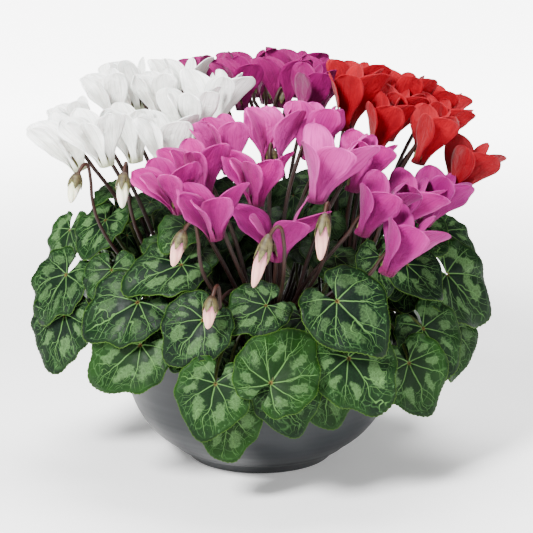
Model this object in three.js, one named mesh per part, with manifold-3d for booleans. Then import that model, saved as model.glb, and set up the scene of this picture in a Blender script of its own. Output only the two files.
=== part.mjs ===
// A bowl planted with four cyclamens: white at the left, purple behind, red at the right, pink in front.
// Millimetres, +Z up. The origin is the middle of the bowl's flat foot, +X runs right and -Y to the front.
import * as THREE from "three";
import { mergeVertices } from "three/addons/utils/BufferGeometryUtils.js";
import Module from "manifold-3d";

const wasm = await Module();
wasm.setup();

// The bowl: a moulded planter with a low stepped foot and a rolled rim.
const FOOT_R = 58;
const LEDGE_R = 71;
const LEDGE_Z = 11;
const RIM_R = 120;
const RIM_Z = 104;
const WALL = 3;
const BOWL_SIDES = 24;

// The compost and the corms, half buried in it.
const SOIL_Z = 88;
const SOIL_SIDES = 14;
const SEAT_GAP = 0.3;
const CORM_R = 22;
const CORM_HALF_HEIGHT = 13;
const CROWN_R = 13.5;
const STALK_SPREAD = 0.2;
const MOST_SPREAD = 11;
const CROWN_DEPTH = 4;
const CROWN_TOP = SOIL_Z + CORM_HALF_HEIGHT + 1.5;

// A leaf: blade thickness, petiole radius and how the blade bends.
const LEAF_THICKNESS = 0.8;
const PETIOLE_R = 1.5;
const LIGHT_TURN_DEG = 42;
const PETIOLE_SHARE = 0.28;
const OUTLINE_DEG = [-162, -134, -102, -66, -30, 0, 30, 66, 102, 134, 162];
const MIDDLE_DEG = [-132, -66, 0, 66, 132];
const MIDDLE_SHARE = 0.56;

// A bloom: five swept-back petals on a short tube, hanging from a hooked stalk.
const PETAL_THICKNESS = 0.8;
const PETAL_VARIETY = 3;
const MOST_OPENED = 4;
const PETAL_LENGTH = 44;
const PETAL_HALF_WIDTH = 12.5;
const PETAL_BASE_HALF_WIDTH = 2.4;
const MOUTH_R = 5.5;
const PETAL_BASE_DEG = 26;
const TUBE_TOP_R = 3.2;
const TUBE_TOP = 7;
const PETAL_AZIMUTHS = [88, 140, 192, 244, 296];
const PETAL_TWIST = 0.8;
const TWISTED_BY = 0.3;
const WIDEST_SHARE = 0.7;
const PETAL_SLIMNESS = 3;
const PETAL_ROWS = [0.4, 0.78, 0.97];
const MOST_LEAN = 0.36;
const LEAN_PER_MM = 0.0042;
const STALK_R = 1.6;
const CALYX_R = 4.1;
const CALYX_GAP = 0.9;

// How a blade's corners are offset: the search's steps, and the least squareness that lengthens an offset.
const OFFSET_STEPS = 60;
const LEAST_SQUARENESS = 0.45;

// Each plant: where its corm sits, its petal colour, and its blooms as the mouth's place [x, y, z],
// its size and how far its petals flare at least.
const PLANTS = {
  white: {
    corm: [-52, 6],
    petal: 0xf4f3ef,
    blooms: [
      [-140, -14, 236, 1.05, 4],
      [-116, -52, 247, 1.0, 2],
      [-136, 22, 246, 0.95, 2],
      [-96, -22, 244, 1.0, 1],
      [-70, -41, 242, 1.0, 1],
      [-110, 10, 270, 0.95, 1],
      [-98, 46, 272, 1.0, 2],
      [-75, 15, 268, 0.95, 1],
      [-54, -18, 258, 1.0, 1],
      [-38, 14, 264, 1.05, 3],
      [-62, 50, 272, 1.0, 2],
    ],
  },
  purple: {
    corm: [4, 56],
    petal: 0xb02a8c,
    blooms: [
      [-14, 56, 272, 0.95, 1],
      [18, 79, 270, 0.95, 1],
      [34, 44, 266, 1.0, 1],
      [-36, 92, 272, 0.95, 3],
      [-7, 117, 272, 0.95, 2],
      [28, 118, 272, 0.95, 2],
      [48, 89, 268, 0.95, 2],
      [6, 148, 262, 0.95, 3],
    ],
  },
  red: {
    corm: [58, 18],
    petal: 0xcf2323,
    blooms: [
      [67, 6, 264, 1.12, 3],
      [76, 53, 268, 1.0, 2],
      [110, 44, 263, 0.95, 1],
      [89, -15, 250, 1.0, 1],
      [101, 16, 254, 0.95, 1],
      [123, -18, 242, 1.0, 1],
      [132, 18, 247, 0.95, 1],
      [134, 56, 252, 0.95, 3],
      [149, -17, 216, 1.05, 2],
    ],
  },
  pink: {
    corm: [8, -48],
    petal: 0xd9549f,
    blooms: [
      [-41, -78, 227, 1.0, 2],
      [-58, -106, 222, 0.95, 2],
      [-31, -131, 208, 0.95, 1],
      [-22, -50, 240, 1.0, 1],
      [9, -27, 242, 1.0, 1],
      [38, -26, 246, 1.0, 1],
      [42, -76, 224, 1.25, 9],
      [-2, -91, 224, 0.95, 2],
      [13, -121, 190, 1.05, 6],
      [70, -52, 227, 1.0, 2],
      [76, -96, 203, 1.05, 2],
      [101, -66, 200, 1.0, 1],
      [126, -40, 198, 1.0, 1],
      [93, -122, 180, 1.1, 2],
    ],
  },
};

// The leaves: [plant, azimuth, out, up, size, face, turn]. Azimuth is in degrees from the front towards +X,
// out and up place the middle of the blade, size runs from the petiole to the tip, face is the upper side's
// tilt above the horizon and turn swings the tip from straight down the slope. Every leaf also turns a
// little to the front, where the light comes from.
const LEAVES = [
  ["pink", -13, 156, 92, 44, 16, -14],
  ["pink", -10, 143, 68, 42, 4, 0],
  ["pink", 6, 152, 116, 50, 30, 145],
  ["pink", 8, 147, 88, 40, 6, 12],
  ["pink", 28, 157, 108, 50, 20, 34],
  ["pink", 26, 152, 152, 52, 36, 40],
  ["pink", 21, 138, 90, 42, 6, 6],
  ["pink", -20, 142, 138, 42, 28, -36],
  ["pink", -27, 112, 140, 36, 50, -10],
  ["pink", -2, 120, 150, 38, 50, -60],
  ["pink", 17, 120, 134, 38, 46, 10],
  ["pink", -38, 100, 200, 28, 52, -30],
  ["pink", 42, 94, 176, 27, 70, 30],
  ["pink", -37, 118, 175, 48, 60, -62],
  ["white", -45, 146, 146, 50, 40, -56],
  ["white", -41, 152, 114, 50, 24, -50],
  ["white", -76, 162, 112, 48, 18, -10],
  ["white", -80, 162, 144, 46, 32, -20],
  ["white", -94, 156, 172, 38, 30, 10],
  ["white", -82, 128, 188, 38, 50, 0],
  ["white", -97, 122, 212, 24, 66, 0],
  ["white", -84, 94, 205, 30, 68, -20],
  ["white", -51, 94, 184, 29, 72, 20],
  ["white", -58, 134, 160, 36, 36, 10],
  ["red", 52, 150, 90, 46, 12, 20],
  ["red", 62, 150, 112, 46, 24, 26],
  ["red", 76, 156, 100, 42, 12, 6],
  ["red", 78, 160, 146, 54, 28, 36],
  ["red", 94, 154, 170, 44, 44, -10],
  ["red", 57, 142, 168, 38, 50, 30],
  ["red", 80, 132, 189, 36, 60, 0],
  ["red", 101, 128, 206, 32, 54, -16],
];

// The far side has the same three tiers, spaced evenly with a seeded jitter.
const FAR_TIERS = [
  { out: 146, up: 96, size: 54, face: 18, azimuths: [116, 168, 218] },
  { out: 148, up: 134, size: 56, face: 32, azimuths: [128, 172, 212, 250] },
  { out: 122, up: 178, size: 54, face: 50, azimuths: [148, 192, 232] },
];
const FAR_JITTER_DEG = 4;
const WHITE_FROM_DEG = 228;
const RED_TO_DEG = 125;

// Buds: [plant, x, y, z of the calyx, length, heading]. Heading is the way the bud points, in degrees.
const BUDS = [
  ["white", -140, -38, 238, 24, -60],
  ["white", -103, -58, 242, 27, -10],
  ["pink", -55, -132, 214, 28, -90],
  ["pink", 7, -160, 217, 40, -90],
  ["pink", 47, -138, 228, 34, -20],
  ["pink", -34, -144, 168, 24, -30],
];

// A bud as [share of its length, radius]: the calyx, its mouth and the rolled petals.
const BUD_SHAPE = [[0, 2], [0.14, 5], [0.38, 5.4], [0.46, 3.7], [0.72, 4.2], [1, 1]];

const MATERIALS = {
  pot: new THREE.MeshStandardMaterial({ color: 0x5b5f64, roughness: 0.45, metalness: 0.0 }),
  soil: new THREE.MeshStandardMaterial({ color: 0x2b211a, roughness: 1.0, metalness: 0.0 }),
  leaf: new THREE.MeshStandardMaterial({ color: 0x2f6b35, roughness: 0.5, metalness: 0.0 }),
  stalk: new THREE.MeshStandardMaterial({ color: 0x4a2a20, roughness: 0.55, metalness: 0.0 }),
};

const UP = new THREE.Vector3(0, 0, 1);
const radians = THREE.MathUtils.degToRad;

// A repeatable stream of numbers from 0 to 1.
function seeded(seed) {
  let state = seed;
  return () => {
    state = (state * 16807) % 2147483647;
    return state / 2147483647;
  };
}

function solidOf(geometry) {
  const bare = geometry.clone();
  bare.deleteAttribute("normal");
  bare.deleteAttribute("uv");
  const merged = mergeVertices(bare, 1e-4);
  return new wasm.Manifold(
    new wasm.Mesh({
      numProp: 3,
      vertProperties: new Float32Array(merged.attributes.position.array),
      triVerts: new Uint32Array(merged.index.array),
    }),
  );
}

// A named mesh of the largest body of a solid: a scrap left by a cut is dropped.
function meshOf(name, solid, material) {
  const bodies = solid.decompose().sort((a, b) => b.volume() - a.volume());
  const { numProp, numVert, vertProperties, triVerts } = bodies[0].getMesh();
  const places = new Float32Array(numVert * 3);
  for (let i = 0; i < numVert; i += 1) {
    places.set(vertProperties.subarray(i * numProp, i * numProp + 3), i * 3);
  }
  const geometry = new THREE.BufferGeometry();
  geometry.setAttribute("position", new THREE.BufferAttribute(places, 3));
  geometry.setIndex(new THREE.BufferAttribute(triVerts, 1));
  geometry.computeVertexNormals();
  const mesh = new THREE.Mesh(geometry, material);
  mesh.name = name;
  return mesh;
}

function geometryOf(points, triangles) {
  const geometry = new THREE.BufferGeometry();
  geometry.setAttribute(
    "position",
    new THREE.BufferAttribute(new Float32Array(points.flatMap((p) => [p.x, p.y, p.z])), 3),
  );
  geometry.setIndex(triangles.flat());
  return geometry;
}

// The way that a corner of a sheet moves as the sheet gets thicker: as square as it can be to every triangle
// round it, also where the sheet is folded sharply.
function offsetOf(facings) {
  const way = facings.reduce((sum, n) => sum.add(n), new THREE.Vector3()).normalize();
  for (let step = 0; step < OFFSET_STEPS; step += 1) {
    const worst = facings.reduce((a, b) => (a.dot(way) < b.dot(way) ? a : b));
    way.addScaledVector(worst, 2 / OFFSET_STEPS).normalize();
  }
  const squareness = Math.min(...facings.map((n) => n.dot(way)));
  return way.multiplyScalar(1 / Math.max(squareness, LEAST_SQUARENESS));
}

// A thin closed blade: a sheet of triangles, offset half the thickness both ways and closed at its rim.
function blade(points, sheet, thickness) {
  const facings = points.map(() => []);
  for (const [a, b, c] of sheet) {
    const ab = points[b].clone().sub(points[a]);
    const ac = points[c].clone().sub(points[a]);
    const facing = ab.cross(ac).normalize();
    [a, b, c].forEach((i) => facings[i].push(facing));
  }
  const offsets = facings.map(offsetOf);
  const half = thickness / 2;
  const front = points.map((p, i) => p.clone().addScaledVector(offsets[i], half));
  const back = points.map((p, i) => p.clone().addScaledVector(offsets[i], -half));
  const count = points.length;
  const triangles = sheet.map((t) => [...t]);
  sheet.forEach(([a, b, c]) => triangles.push([c + count, b + count, a + count]));
  const edges = new Set(sheet.flatMap(([a, b, c]) => [`${a},${b}`, `${b},${c}`, `${c},${a}`]));
  for (const edge of edges) {
    const [a, b] = edge.split(",").map(Number);
    if (!edges.has(`${b},${a}`)) {
      triangles.push([b, a, a + count], [b, a + count, b + count]);
    }
  }
  return geometryOf([...front, ...back], triangles);
}

// A tapering rod through points, closed at both ends.
function rod(points, radii, sides) {
  const rings = [];
  let side = new THREE.Vector3(1, 0, 0);
  points.forEach((p, i) => {
    const ahead = points[Math.min(i + 1, points.length - 1)];
    const behind = points[Math.max(i - 1, 0)];
    const along = ahead.clone().sub(behind).normalize();
    side = side.clone().addScaledVector(along, -side.dot(along)).normalize();
    const across = along.clone().cross(side);
    for (let k = 0; k < sides; k += 1) {
      const angle = (2 * Math.PI * k) / sides;
      const arm = side.clone().multiplyScalar(Math.cos(angle)).addScaledVector(across, Math.sin(angle));
      rings.push(p.clone().addScaledVector(arm, radii[i]));
    }
  });
  const triangles = [];
  for (let i = 0; i + 1 < points.length; i += 1) {
    for (let k = 0; k < sides; k += 1) {
      const a = i * sides + k;
      const b = i * sides + ((k + 1) % sides);
      triangles.push([a, b, b + sides], [a, b + sides, a + sides]);
    }
  }
  const last = (points.length - 1) * sides;
  for (let k = 1; k + 1 < sides; k += 1) {
    triangles.push([0, k + 1, k], [last, last + k, last + k + 1]);
  }
  return geometryOf(rings, triangles);
}

// Points on a cubic curve.
function curvePoints(p0, p1, p2, p3, count) {
  return new THREE.CubicBezierCurve3(p0, p1, p2, p3).getPoints(count);
}

function union(solids) {
  return wasm.Manifold.union(solids);
}

// The bowl's flank as [radius, height], from the foot up to under the rim.
const FLANK = [
  [LEDGE_R + 3, LEDGE_Z + 2.5],
  [88, 25],
  [100, 42],
  [108, 64],
  [112.5, 80],
  [116, 97],
];

// A point of the bowl's inner face, or inset from it, at a share of the flank's length.
function innerPoint(flank, share, inset) {
  const p = flank.getPoint(share);
  const along = flank.getTangent(share);
  const depth = WALL + inset;
  return new THREE.Vector2(p.x - along.y * depth, p.y + along.x * depth);
}

function bowlGeometry() {
  const flank = new THREE.SplineCurve(FLANK.map((p) => new THREE.Vector2(...p)));
  const profile = [
    new THREE.Vector2(0, 0),
    new THREE.Vector2(FOOT_R, 0),
    new THREE.Vector2(FOOT_R + 7, LEDGE_Z - 3),
    new THREE.Vector2(LEDGE_R - 1, LEDGE_Z - 1),
    ...flank.getPoints(5),
    new THREE.Vector2(RIM_R - 1, RIM_Z - 5),
    new THREE.Vector2(RIM_R, RIM_Z - 1.5),
    new THREE.Vector2(RIM_R - 2, RIM_Z),
    new THREE.Vector2(RIM_R - 6, RIM_Z - 0.5),
    ...[1, 0.6, 0.3].map((share) => innerPoint(flank, share, 0)),
    new THREE.Vector2(FOOT_R - 2, WALL),
    new THREE.Vector2(0, WALL),
  ];
  return new THREE.LatheGeometry(profile, BOWL_SIDES).rotateX(Math.PI / 2);
}

function soilGeometry() {
  const flank = new THREE.SplineCurve(FLANK.map((p) => new THREE.Vector2(...p)));
  const [low, middle, high] = [0.3, 0.6, 1].map((share) => innerPoint(flank, share, SEAT_GAP + 0.7));
  const profile = [
    new THREE.Vector2(0, WALL + SEAT_GAP),
    new THREE.Vector2(FOOT_R - 5, WALL + SEAT_GAP),
    low,
    middle,
    middle.clone().lerp(high, 0.6),
    new THREE.Vector2(60, SOIL_Z + 3),
    new THREE.Vector2(0, SOIL_Z + 4),
  ];
  return new THREE.LatheGeometry(profile, SOIL_SIDES).rotateX(Math.PI / 2);
}

// A corm is a flattened ball. grow makes the socket that it lies in.
function cormGeometry([x, y], grow) {
  const ball = new THREE.SphereGeometry(1, 10, 5);
  ball.rotateX(Math.PI / 2);
  ball.scale(CORM_R + grow, CORM_R + grow, CORM_HALF_HEIGHT + grow);
  return ball.translate(x, y, SOIL_Z);
}

function crownGeometry([x, y], grow) {
  const top = CROWN_TOP - (grow > 0 ? -20 : 0);
  const bottom = CROWN_TOP - CROWN_DEPTH - grow;
  const disc = new THREE.CylinderGeometry(CROWN_R + grow, CROWN_R + grow, top - bottom, 8);
  return disc.rotateX(Math.PI / 2).translate(x, y, (top + bottom) / 2);
}

// How far the blade reaches from the petiole, as a share of its size, at an angle from the tip.
function leafReach(angle) {
  const point = 0.18 * Math.max(0, Math.cos(angle)) ** 9;
  return 0.64 + 0.16 * Math.cos(angle) + 0.02 * Math.cos(2 * angle) + point;
}

// The height of the blade above its own plane at [across, along]: it arches down to its rim, is folded a
// little along the midrib and waves round the rim.
function leafHeight(across, along, size, phase) {
  const reach = Math.hypot(across, along) / size;
  const angle = Math.atan2(across, along);
  const arch = -0.15 * size * reach * reach;
  const fold = 0.09 * Math.abs(across) * (1 - 0.4 * reach);
  const wave = 0.045 * size * reach * reach * Math.sin(5 * angle + phase);
  return arch + fold + wave;
}

// The frame of one leaf: its petiole point and the matrix from blade to bowl.
function leafFrame([, azimuth, out, up, size, face, turn]) {
  const a = radians(azimuth);
  const f = radians(face);
  const t = radians(turn);
  const outward = new THREE.Vector3(Math.sin(a), -Math.cos(a), 0);
  const look = a - radians(LIGHT_TURN_DEG) * Math.sin(a);
  const lookOut = new THREE.Vector3(Math.sin(look), -Math.cos(look), 0);
  const facing = lookOut.clone().multiplyScalar(Math.cos(f)).addScaledVector(UP, Math.sin(f));
  const downhill = lookOut.clone().multiplyScalar(Math.sin(f)).addScaledVector(UP, -Math.cos(f));
  const sideways = facing.clone().cross(downhill);
  const along = downhill.clone().multiplyScalar(Math.cos(t)).addScaledVector(sideways, Math.sin(t));
  const across = along.clone().cross(facing);
  const middle = outward.clone().multiplyScalar(out).addScaledVector(UP, up);
  const petiole = middle.addScaledVector(along, -PETIOLE_SHARE * size);
  const matrix = new THREE.Matrix4().makeBasis(across, along, facing).setPosition(petiole);
  return { matrix, petiole, along, facing, outward };
}

function leafBlade(leaf, index) {
  const size = leaf[4];
  const phase = index * 2.4;
  const { matrix } = leafFrame(leaf);
  const spot = (degrees, share, notch) => {
    const angle = radians(degrees);
    const reach = leafReach(angle) * size * share * notch;
    const across = reach * Math.sin(angle);
    const along = reach * Math.cos(angle);
    return new THREE.Vector3(across, along, leafHeight(across, along, size, phase)).applyMatrix4(matrix);
  };
  const outline = OUTLINE_DEG.map((degrees, i) => spot(degrees, 1, i % 2 ? 1.03 : 0.96));
  const middle = MIDDLE_DEG.map((degrees) => spot(degrees, MIDDLE_SHARE, 1));
  const points = [spot(0, 0, 1), ...middle, ...outline];
  const firstOutline = 1 + middle.length;
  const sheet = [[0, 1, firstOutline]];
  let rim = 0;
  MIDDLE_DEG.forEach((degrees, i) => {
    const next = i + 1 < middle.length ? (degrees + MIDDLE_DEG[i + 1]) / 2 : 180;
    while (rim + 1 < outline.length && OUTLINE_DEG[rim + 1] <= next) {
      sheet.push([i + 1, firstOutline + rim + 1, firstOutline + rim]);
      rim += 1;
    }
    if (i + 1 < middle.length) {
      sheet.push([i + 1, i + 2, firstOutline + rim], [0, i + 2, i + 1]);
    }
  });
  sheet.push([0, firstOutline + rim, middle.length]);
  return blade(points, sheet, LEAF_THICKNESS);
}

// The petiole leaves the corm's shoulder, rises over the rim where the leaf hangs low, and meets the blade
// from below.
function petioleGeometry(leaf) {
  const [x, y] = PLANTS[leaf[0]].corm;
  const { petiole, along, facing, outward } = leafFrame(leaf);
  const corm = new THREE.Vector3(x, y, SOIL_Z);
  const away = petiole.clone().sub(corm).setZ(0).normalize();
  const root = corm.clone().addScaledVector(away, CORM_R * 0.72).addScaledVector(UP, CORM_HALF_HEIGHT * 0.45);
  const end = petiole.clone().addScaledVector(along, 4).addScaledVector(facing, -0.5);
  const lift = Math.max(0, 150 - petiole.z);
  const rise = root.clone().addScaledVector(UP, 26 + 0.3 * lift).addScaledVector(away, 14);
  const arrive = end.clone().addScaledVector(facing, -20).addScaledVector(outward, -6).addScaledVector(UP, lift);
  return rod(curvePoints(root, rise, arrive, end, 3), [2.3, PETIOLE_R, PETIOLE_R, 0.9], 3);
}

// Half the petal's width at a share of its length: narrow at the mouth, widest past the middle, round-ended.
function petalHalfWidth(share) {
  if (share <= WIDEST_SHARE) {
    const rise = Math.sin((Math.PI / 2) * (share / WIDEST_SHARE)) ** PETAL_SLIMNESS;
    return PETAL_BASE_HALF_WIDTH + (PETAL_HALF_WIDTH - PETAL_BASE_HALF_WIDTH) * rise;
  }
  const past = (share - WIDEST_SHARE) / (1 - WIDEST_SHARE);
  return PETAL_HALF_WIDTH * Math.sqrt(Math.max(0, 1 - past * past));
}

// A point of a petal in the bloom's own frame, with the mouth at the origin and +Z along the petals.
function petalPoint(azimuth, share, side, flare) {
  const radius = MOUTH_R + 6.5 * share + (5 + flare) * share * share;
  const height = PETAL_LENGTH * share - 0.3 * flare * share * share;
  const twist = PETAL_TWIST * Math.min(1, share / TWISTED_BY);
  const outward = new THREE.Vector3(Math.cos(azimuth), Math.sin(azimuth), 0);
  const tangent = new THREE.Vector3(-Math.sin(azimuth), Math.cos(azimuth), 0);
  const across = tangent.clone().multiplyScalar(Math.cos(twist)).addScaledVector(outward, Math.sin(twist));
  const width = petalHalfWidth(share) * side;
  const cup = -0.16 * Math.abs(width) * share;
  return outward
    .clone()
    .multiplyScalar(radius + cup)
    .addScaledVector(across, width)
    .addScaledVector(UP, height);
}

// The frame of one bloom: +Z along its petals, +X towards its own stalk, which stands on the plant's side.
function bloomFrame(plant, [x, y, z, size]) {
  const mouth = new THREE.Vector3(x, y, z);
  const away = new THREE.Vector3(x - plant.corm[0], 0.6 * (y - plant.corm[1]), 0);
  const lean = Math.min(MOST_LEAN, away.length() * LEAN_PER_MM);
  away.normalize();
  const along = UP.clone().multiplyScalar(Math.cos(lean)).addScaledVector(away, Math.sin(lean));
  const stalkSide = away.clone().negate().addScaledVector(along, away.dot(along)).normalize();
  const across = along.clone().cross(stalkSide);
  return new THREE.Matrix4()
    .makeBasis(stalkSide, across, along)
    .scale(new THREE.Vector3(size, size, size))
    .setPosition(mouth);
}

// One bloom's corolla, as a single sheet: the closed tube, its mouth and the five petals from it.
function bloomGeometry(plant, bloom, flare) {
  const matrix = bloomFrame(plant, bloom);
  const count = PETAL_AZIMUTHS.length;
  const points = PETAL_AZIMUTHS.map((degrees) => {
    const a = radians(degrees);
    return new THREE.Vector3(TUBE_TOP_R * Math.cos(a), TUBE_TOP_R * Math.sin(a), TUBE_TOP);
  });
  // Neighbouring petals share a corner of the mouth. The stalk passes where the ring of petals is open.
  const corners = PETAL_AZIMUTHS.map((degrees) => degrees - PETAL_BASE_DEG);
  corners.push(PETAL_AZIMUTHS[count - 1] + PETAL_BASE_DEG);
  for (const degrees of corners) {
    const a = radians(degrees);
    points.push(new THREE.Vector3(MOUTH_R * Math.cos(a), MOUTH_R * Math.sin(a), 0));
  }
  const sheet = [[0, 1, 2], [0, 2, 3], [0, 3, 4], [4, 2 * count, count], [4, count, 0]];
  PETAL_AZIMUTHS.forEach((degrees, i) => {
    const azimuth = radians(degrees);
    const open = flare + PETAL_VARIETY * Math.sin(7 * i + bloom[0]);
    let [left, right] = [count + i, count + i + 1];
    sheet.push([i, left, right]);
    if (i + 1 < count) sheet.push([i, right, i + 1]);
    for (const share of PETAL_ROWS) {
      const next = points.length;
      points.push(petalPoint(azimuth, share, -1, open), petalPoint(azimuth, share, 1, open));
      sheet.push([left, next, right], [right, next, next + 1]);
      [left, right] = [next, next + 1];
    }
  });
  points.forEach((p) => p.applyMatrix4(matrix));
  return blade(points, sheet, PETAL_THICKNESS);
}

// The free length of a stalk, from the crown on the corm to its head, which it meets along a direction.
// A route bends it aside and lifts it over what stands in its way.
function stemPoints(plant, end, along, route) {
  const [x, y] = plant.corm;
  const away = new THREE.Vector3(end.x - x, end.y - y, 0);
  const reach = away.length();
  away.normalize();
  const spread = Math.min(MOST_SPREAD, reach * STALK_SPREAD);
  const root = new THREE.Vector3(x, y, CROWN_TOP - 1.5).addScaledVector(away, spread);
  const rise = root.clone().addScaledVector(UP, 50 + route.lift).addScaledVector(away, reach * 0.25);
  const below = end.clone().addScaledVector(along, 0.75 * route.lift - 50);
  return curvePoints(root, rise.add(route.aside), below.add(route.aside), end, 3);
}

// The stalk rises from the crown, passes between two petals into the bloom and hooks over to its calyx.
function bloomStalk(plant, bloom, route) {
  const matrix = bloomFrame(plant, bloom);
  const inBloom = (x, y, z) => new THREE.Vector3(x, y, z).applyMatrix4(matrix);
  const hook = [inBloom(9.4, -0.8, -3), inBloom(6.6, -1, 8.5), inBloom(3, -0.6, 16)];
  const along = hook[1].clone().sub(hook[0]).normalize();
  const stem = stemPoints(plant, hook[0], along, route);
  const points = [...stem, hook[1], hook[2], inBloom(0, 0, 12.5), inBloom(0, 0, TUBE_TOP + CALYX_GAP)];
  const radii = points.map((p, i) => (i + 2 < points.length ? STALK_R : [2.2, CALYX_R][i + 2 - points.length]));
  return [rod(points, radii, 4)];
}

// A bud hangs from its own hook: calyx, then the rolled petals.
function budGeometries(plant, [, x, y, z, length, heading], route) {
  const a = radians(heading);
  const point = new THREE.Vector3(Math.sin(a) * 0.3, -Math.cos(a) * 0.3, -1).normalize();
  const back = new THREE.Vector3(-Math.sin(a), Math.cos(a), 0);
  const neck = new THREE.Vector3(x, y, z);
  const top = neck.clone().addScaledVector(point, -6).addScaledVector(back, 3);
  const shoulder = neck.clone().addScaledVector(back, 9).addScaledVector(UP, 4);
  const start = neck.clone().addScaledVector(back, 11).addScaledVector(UP, -10);
  const stem = stemPoints(plant, start, UP, route);
  const body = BUD_SHAPE.map(([share]) => neck.clone().addScaledVector(point, share * length));
  const stalk = [...stem, shoulder, top];
  const radii = [...stalk.map(() => STALK_R * 0.9), ...BUD_SHAPE.map(([, radius]) => radius)];
  return [rod([...stalk, ...body], radii, 5)];
}

// Tells whether a solid keeps out of all the others.
function clearOf(solid, others) {
  const box = solid.boundingBox();
  return others.every((other) => {
    const b = other.boundingBox();
    const apart = [0, 1, 2].some((k) => box.min[k] > b.max[k] || box.max[k] < b.min[k]);
    return apart || solid.intersect(other).volume() < 1e-4;
  });
}

const random = seeded(20417);
const jitter = () => (random() * 2 - 1) * FAR_JITTER_DEG;
const farPlant = (azimuth) => {
  if (azimuth > WHITE_FROM_DEG) return "white";
  return azimuth < RED_TO_DEG ? "red" : "purple";
};
const farLeaves = FAR_TIERS.flatMap((tier) =>
  tier.azimuths.map((azimuth) => [
    farPlant(azimuth),
    azimuth + jitter(),
    tier.out,
    tier.up + jitter() / 2,
    tier.size,
    tier.face + jitter(),
    jitter() * 4,
  ]),
);
const leaves = [...LEAVES, ...farLeaves];

const potted = new THREE.Group();
const bowl = solidOf(bowlGeometry());
potted.add(meshOf("bowl", bowl, MATERIALS.pot));

const sockets = Object.values(PLANTS).map((plant) => solidOf(cormGeometry(plant.corm, SEAT_GAP)));
potted.add(meshOf("soil", solidOf(soilGeometry()).subtract(union(sockets)), MATERIALS.soil));

// The leaves and the corm that they grow from are one body for each plant.
const foliage = {};
for (const [name, plant] of Object.entries(PLANTS)) {
  const parts = leaves.flatMap((leaf, i) =>
    leaf[0] === name ? [solidOf(leafBlade(leaf, i)), solidOf(petioleGeometry(leaf))] : [],
  );
  const corm = solidOf(cormGeometry(plant.corm, 0)).subtract(solidOf(crownGeometry(plant.corm, SEAT_GAP)));
  foliage[name] = union([corm, ...parts]);
  potted.add(meshOf(`${name}_leaves`, foliage[name], MATERIALS.leaf));
}

// The blooms open together from their least flare, each as wide as the leaves and the other blooms allow.
const corollas = Object.entries(PLANTS).flatMap(([name, plant]) =>
  plant.blooms.map((bloom, i) => {
    const flare = bloom[4];
    return { name, plant, bloom, number: i + 1, flare, solid: solidOf(bloomGeometry(plant, bloom, flare)) };
  }),
);
for (let step = 0; step < MOST_OPENED; step += 1) {
  for (const corolla of corollas) {
    const wider = solidOf(bloomGeometry(corolla.plant, corolla.bloom, corolla.flare + 1));
    const others = corollas.filter((other) => other !== corolla).map((other) => other.solid);
    if (clearOf(wider, [...others, ...Object.values(foliage)])) {
      corolla.solid = wider;
      corolla.flare += 1;
    }
  }
}
for (const { name, plant, number, solid } of corollas) {
  const material = new THREE.MeshStandardMaterial({ color: plant.petal, roughness: 0.55, metalness: 0.0 });
  potted.add(meshOf(`${name}_bloom_${number}`, solid, material));
}

// The routes that a stalk tries, the straightest first, until one is clear of what it would pass through.
const ROUTES = [0, 24, 48].flatMap((lift) =>
  [0, 9, 18, 30, 42].flatMap((reach) =>
    [0, 90, 180, 270, 45, 135, 225, 315].slice(0, reach ? 8 : 1).map((degrees) => {
      const a = radians(degrees);
      return { lift, aside: new THREE.Vector3(Math.cos(a) * reach, Math.sin(a) * reach, 0) };
    }),
  ),
);
const placed = [...Object.values(foliage), ...corollas.map((corolla) => corolla.solid), bowl];

for (const [name, plant] of Object.entries(PLANTS)) {
  const makers = [
    ...plant.blooms.map((bloom) => (route) => bloomStalk(plant, bloom, route)),
    ...BUDS.filter((bud) => bud[0] === name).map((bud) => (route) => budGeometries(plant, bud, route)),
  ];
  const stalks = [];
  for (const make of makers) {
    let clear = null;
    let best = null;
    for (const route of ROUTES) {
      const solid = union(make(route).map(solidOf));
      if (clearOf(solid, placed)) {
        clear ??= solid;
        best = clearOf(solid, stalks) ? solid : null;
      }
      if (best) break;
    }
    stalks.push(best ?? clear ?? union(make(ROUTES[0]).map(solidOf)));
  }
  const crown = solidOf(crownGeometry(plant.corm, 0));
  const stalkBody = union([crown, ...stalks]);
  placed.push(stalkBody);
  potted.add(meshOf(`${name}_stalks`, stalkBody, MATERIALS.stalk));
}

export default potted;
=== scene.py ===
"""Looks for a bowl planted with four cyclamens: white, purple, red and pink.

Every bloom, leaf, stalk and bud stands where its CAD solid is, made again from the same places and curves
with more faces, thinner blades and finer edges. Small young leaves, which the solids don't have, fill the
plants under the blooms. Lengths in the tables are millimetres, and meshes are metres.
"""

from math import atan2, cos, dist, exp, hypot, pi, radians, sin, sqrt
from random import Random

import bpy
from mathutils import Matrix, Vector


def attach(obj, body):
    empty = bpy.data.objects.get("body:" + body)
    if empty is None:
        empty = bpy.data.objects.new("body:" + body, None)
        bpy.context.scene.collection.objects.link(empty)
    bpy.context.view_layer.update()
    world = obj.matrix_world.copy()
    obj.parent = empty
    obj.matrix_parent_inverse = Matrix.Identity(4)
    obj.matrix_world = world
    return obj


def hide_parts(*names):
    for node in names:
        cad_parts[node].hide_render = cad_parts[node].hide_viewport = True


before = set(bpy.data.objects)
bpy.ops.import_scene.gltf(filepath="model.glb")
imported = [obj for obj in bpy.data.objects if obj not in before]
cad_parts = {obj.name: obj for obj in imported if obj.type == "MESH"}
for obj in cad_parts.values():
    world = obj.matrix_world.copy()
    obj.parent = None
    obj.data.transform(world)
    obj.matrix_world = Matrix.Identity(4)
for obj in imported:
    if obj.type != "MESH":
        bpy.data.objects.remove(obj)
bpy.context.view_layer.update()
MM = 0.001
UP = Vector((0, 0, 1))

# ---- Sizes and places, as in the part's source ----

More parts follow.
